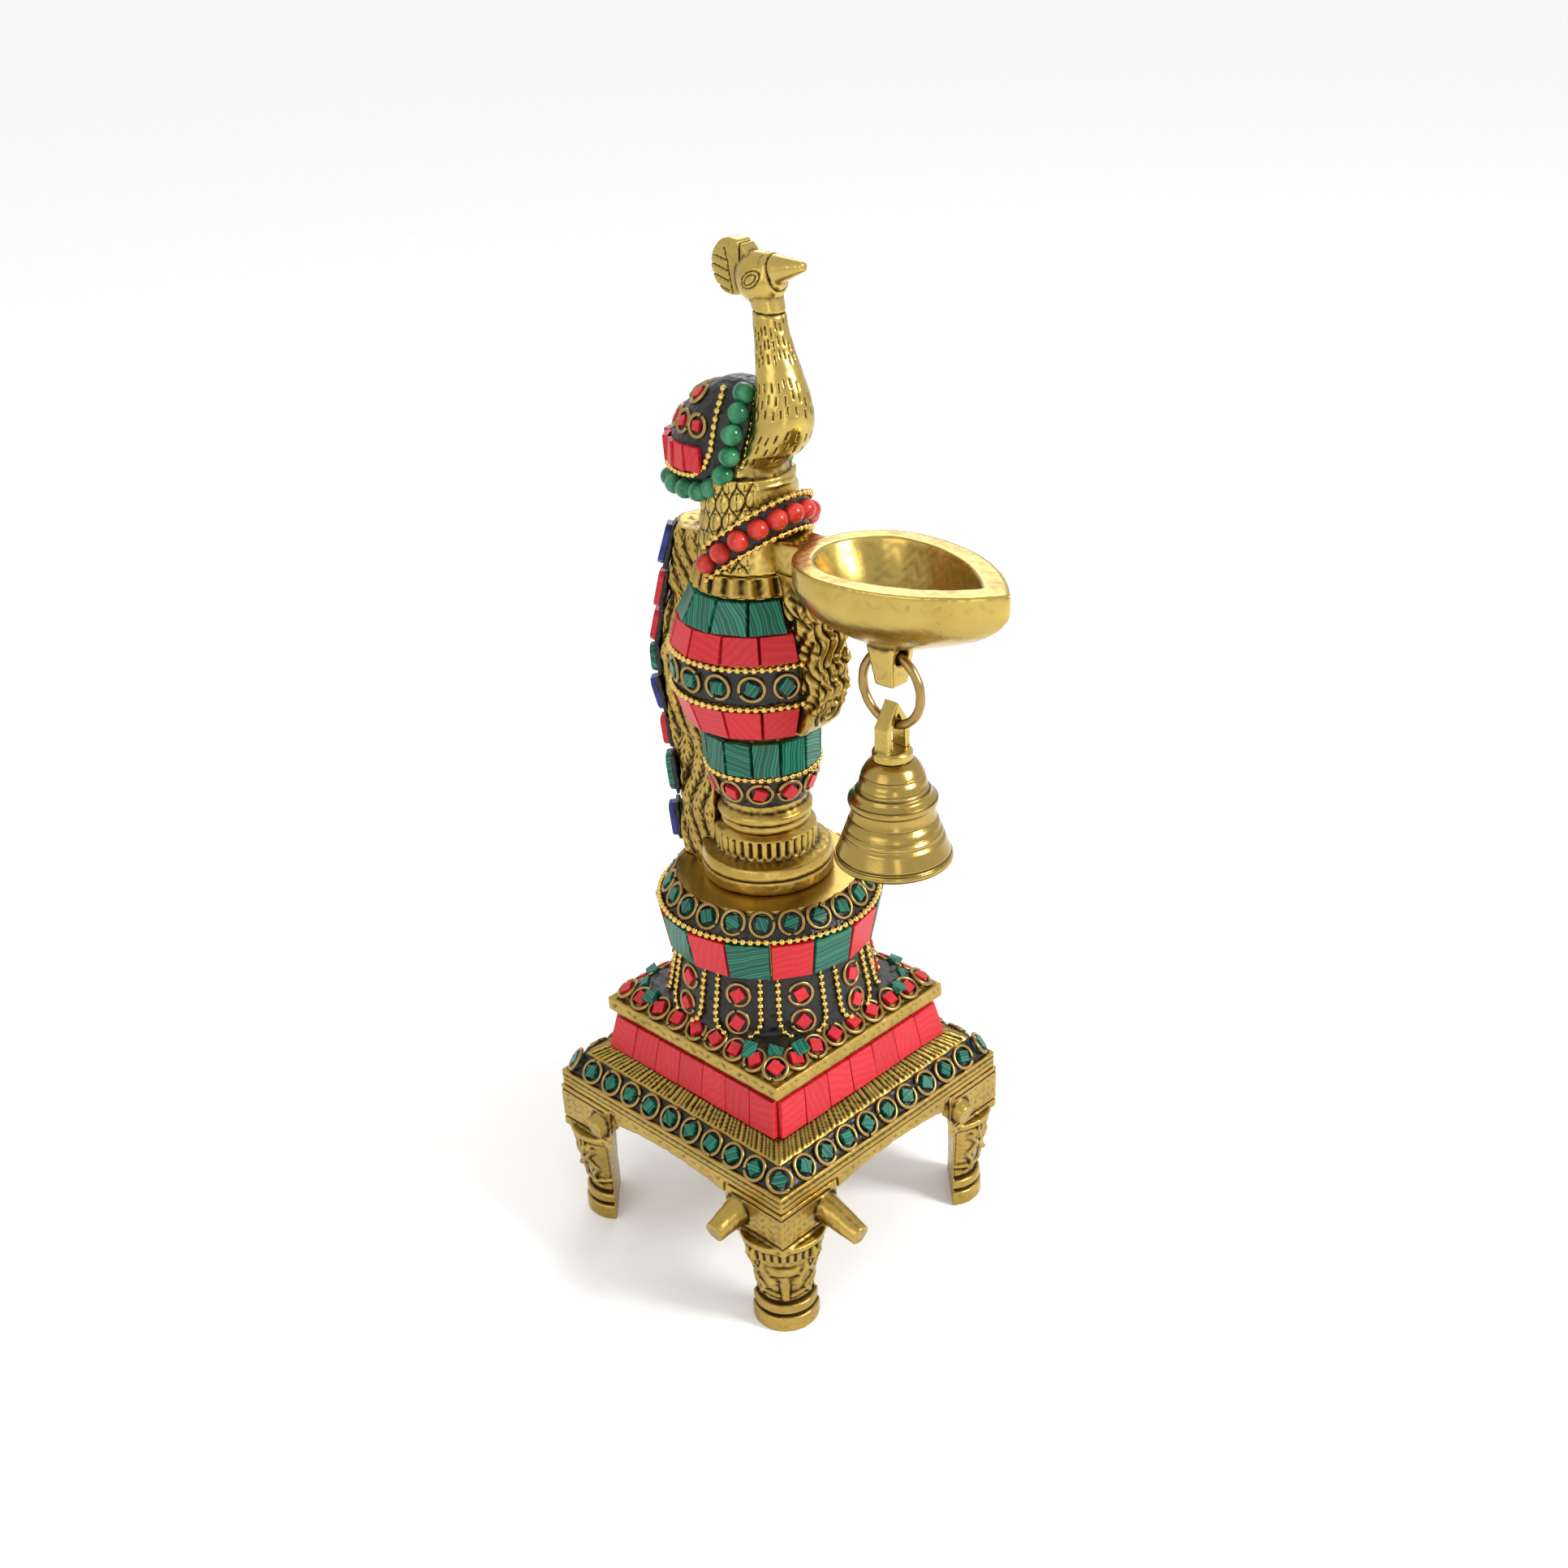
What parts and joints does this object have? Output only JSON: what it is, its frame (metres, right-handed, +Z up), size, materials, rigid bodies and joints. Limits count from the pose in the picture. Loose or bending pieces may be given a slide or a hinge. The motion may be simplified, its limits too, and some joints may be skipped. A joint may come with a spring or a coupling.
{
  "type": "standing oil lamp",
  "caption": "Tall brass oil lamp on a four-legged square stool: inlaid vase column, peacock with a beaded back and stone-set tail, pointed oil bowl in front with a bell hung below.",
  "frame": {"origin": "middle of the stool on the table top, level with the foot soles", "axes": "+Z up; the stool's sides lie along X and Y; the peacock, bowl and bell face +X"},
  "size_m": [0.1298, 0.1027, 0.2819],
  "materials": {
    "cast_brass": "cast brass, polished on high spots with brown patina in grooves",
    "bright_brass": "smooth polished brass",
    "turned_brass": "turned brass with fine lathe marks",
    "wire_brass": "dull bronze-toned wire",
    "bead_brass": "bright gold ball chain",
    "black_resin": "glossy lumpy black resin",
    "coral": "polished red coral-look stone with faint streaks",
    "malachite": "polished banded green malachite-look stone",
    "lapis": "polished deep blue lapis-look stone",
    "green_cabochon": "domed glossy green stone",
    "coral_cabochon": "domed glossy coral-red stone",
    "steel": "plain steel"
  },
  "bodies": {
    "stand": {"stool_plate": "cast_brass", "leg_front": "cast_brass", "leg_right": "cast_brass", "leg_back": "cast_brass", "leg_left": "cast_brass", "stool_resin_bed": "black_resin", "stool_wire_rings": "wire_brass", "stool_malachite_stones": "malachite", "plinth_block": "cast_brass", "plinth_coral_tiles": "coral", "lotus_plate": "cast_brass", "lotus_resin_bed": "black_resin", "lotus_wire_rings": "wire_brass", "lotus_coral_stones": "coral", "petal_bead_chains": "bead_brass", "lotus_malachite_chips": "malachite", "drum": "cast_brass", "drum_coral_tiles": "coral", "drum_malachite_tiles": "malachite", "drum_bead_chain": "bead_brass", "drum_resin_bed": "black_resin", "drum_wire_rings": "wire_brass", "drum_malachite_stones": "malachite", "column_foot": "turned_brass", "vase_body": "cast_brass", "neck_resin_band": "black_resin", "neck_wire_rings": "wire_brass", "neck_coral_stones": "coral", "neck_bead_chain": "bead_brass", "neck_malachite_tiles": "malachite", "belly_coral_tiles": "coral", "belly_resin_band": "black_resin", "belly_bead_chains": "bead_brass", "belly_wire_rings": "wire_brass", "belly_malachite_stones": "malachite", "shoulder_coral_tiles": "coral", "shoulder_malachite_tiles": "malachite", "front_bracket": "cast_brass", "peacock_figure": "bright_brass", "collar_resin_band": "black_resin", "collar_coral_cabochons": "coral_cabochon", "collar_bead_chains": "bead_brass", "back_resin_shell": "black_resin", "back_green_cabochons": "green_cabochon", "back_bead_chains": "bead_brass", "back_coral_stones": "coral", "back_wire_rings": "wire_brass", "tail_plume": "cast_brass", "tail_lapis_slabs": "lapis", "tail_coral_slabs": "coral", "tail_malachite_slabs": "malachite", "tail_resin_settings": "black_resin", "diya_bowl": "bright_brass", "tie_rod": "steel", "tie_nut": "steel", "tie_washer": "steel"},
    "ring": {"hanging_ring": "wire_brass"},
    "bell": {"bell_shell": "turned_brass", "bell_hanger": "bright_brass"},
    "clapper": {"clapper": "turned_brass"}
  },
  "joints": [
    {"name": "ring_swing", "type": "hinge", "parent": "stand", "child": "ring", "pos_m": [0.046, 0, 0.1886], "axis": [1, 0, 0], "range_deg": [-30, 30]},
    {"name": "bell_swing", "type": "hinge", "parent": "ring", "child": "bell", "pos_m": [0.046, 0, 0.1793], "axis": [0, 1, 0], "range_deg": [-16, 16]},
    {"name": "clapper_swing", "type": "hinge", "parent": "bell", "child": "clapper", "pos_m": [0.046, 0, 0.1525], "axis": [1, 0, 0], "range_deg": [-30, 30]}
  ]
}
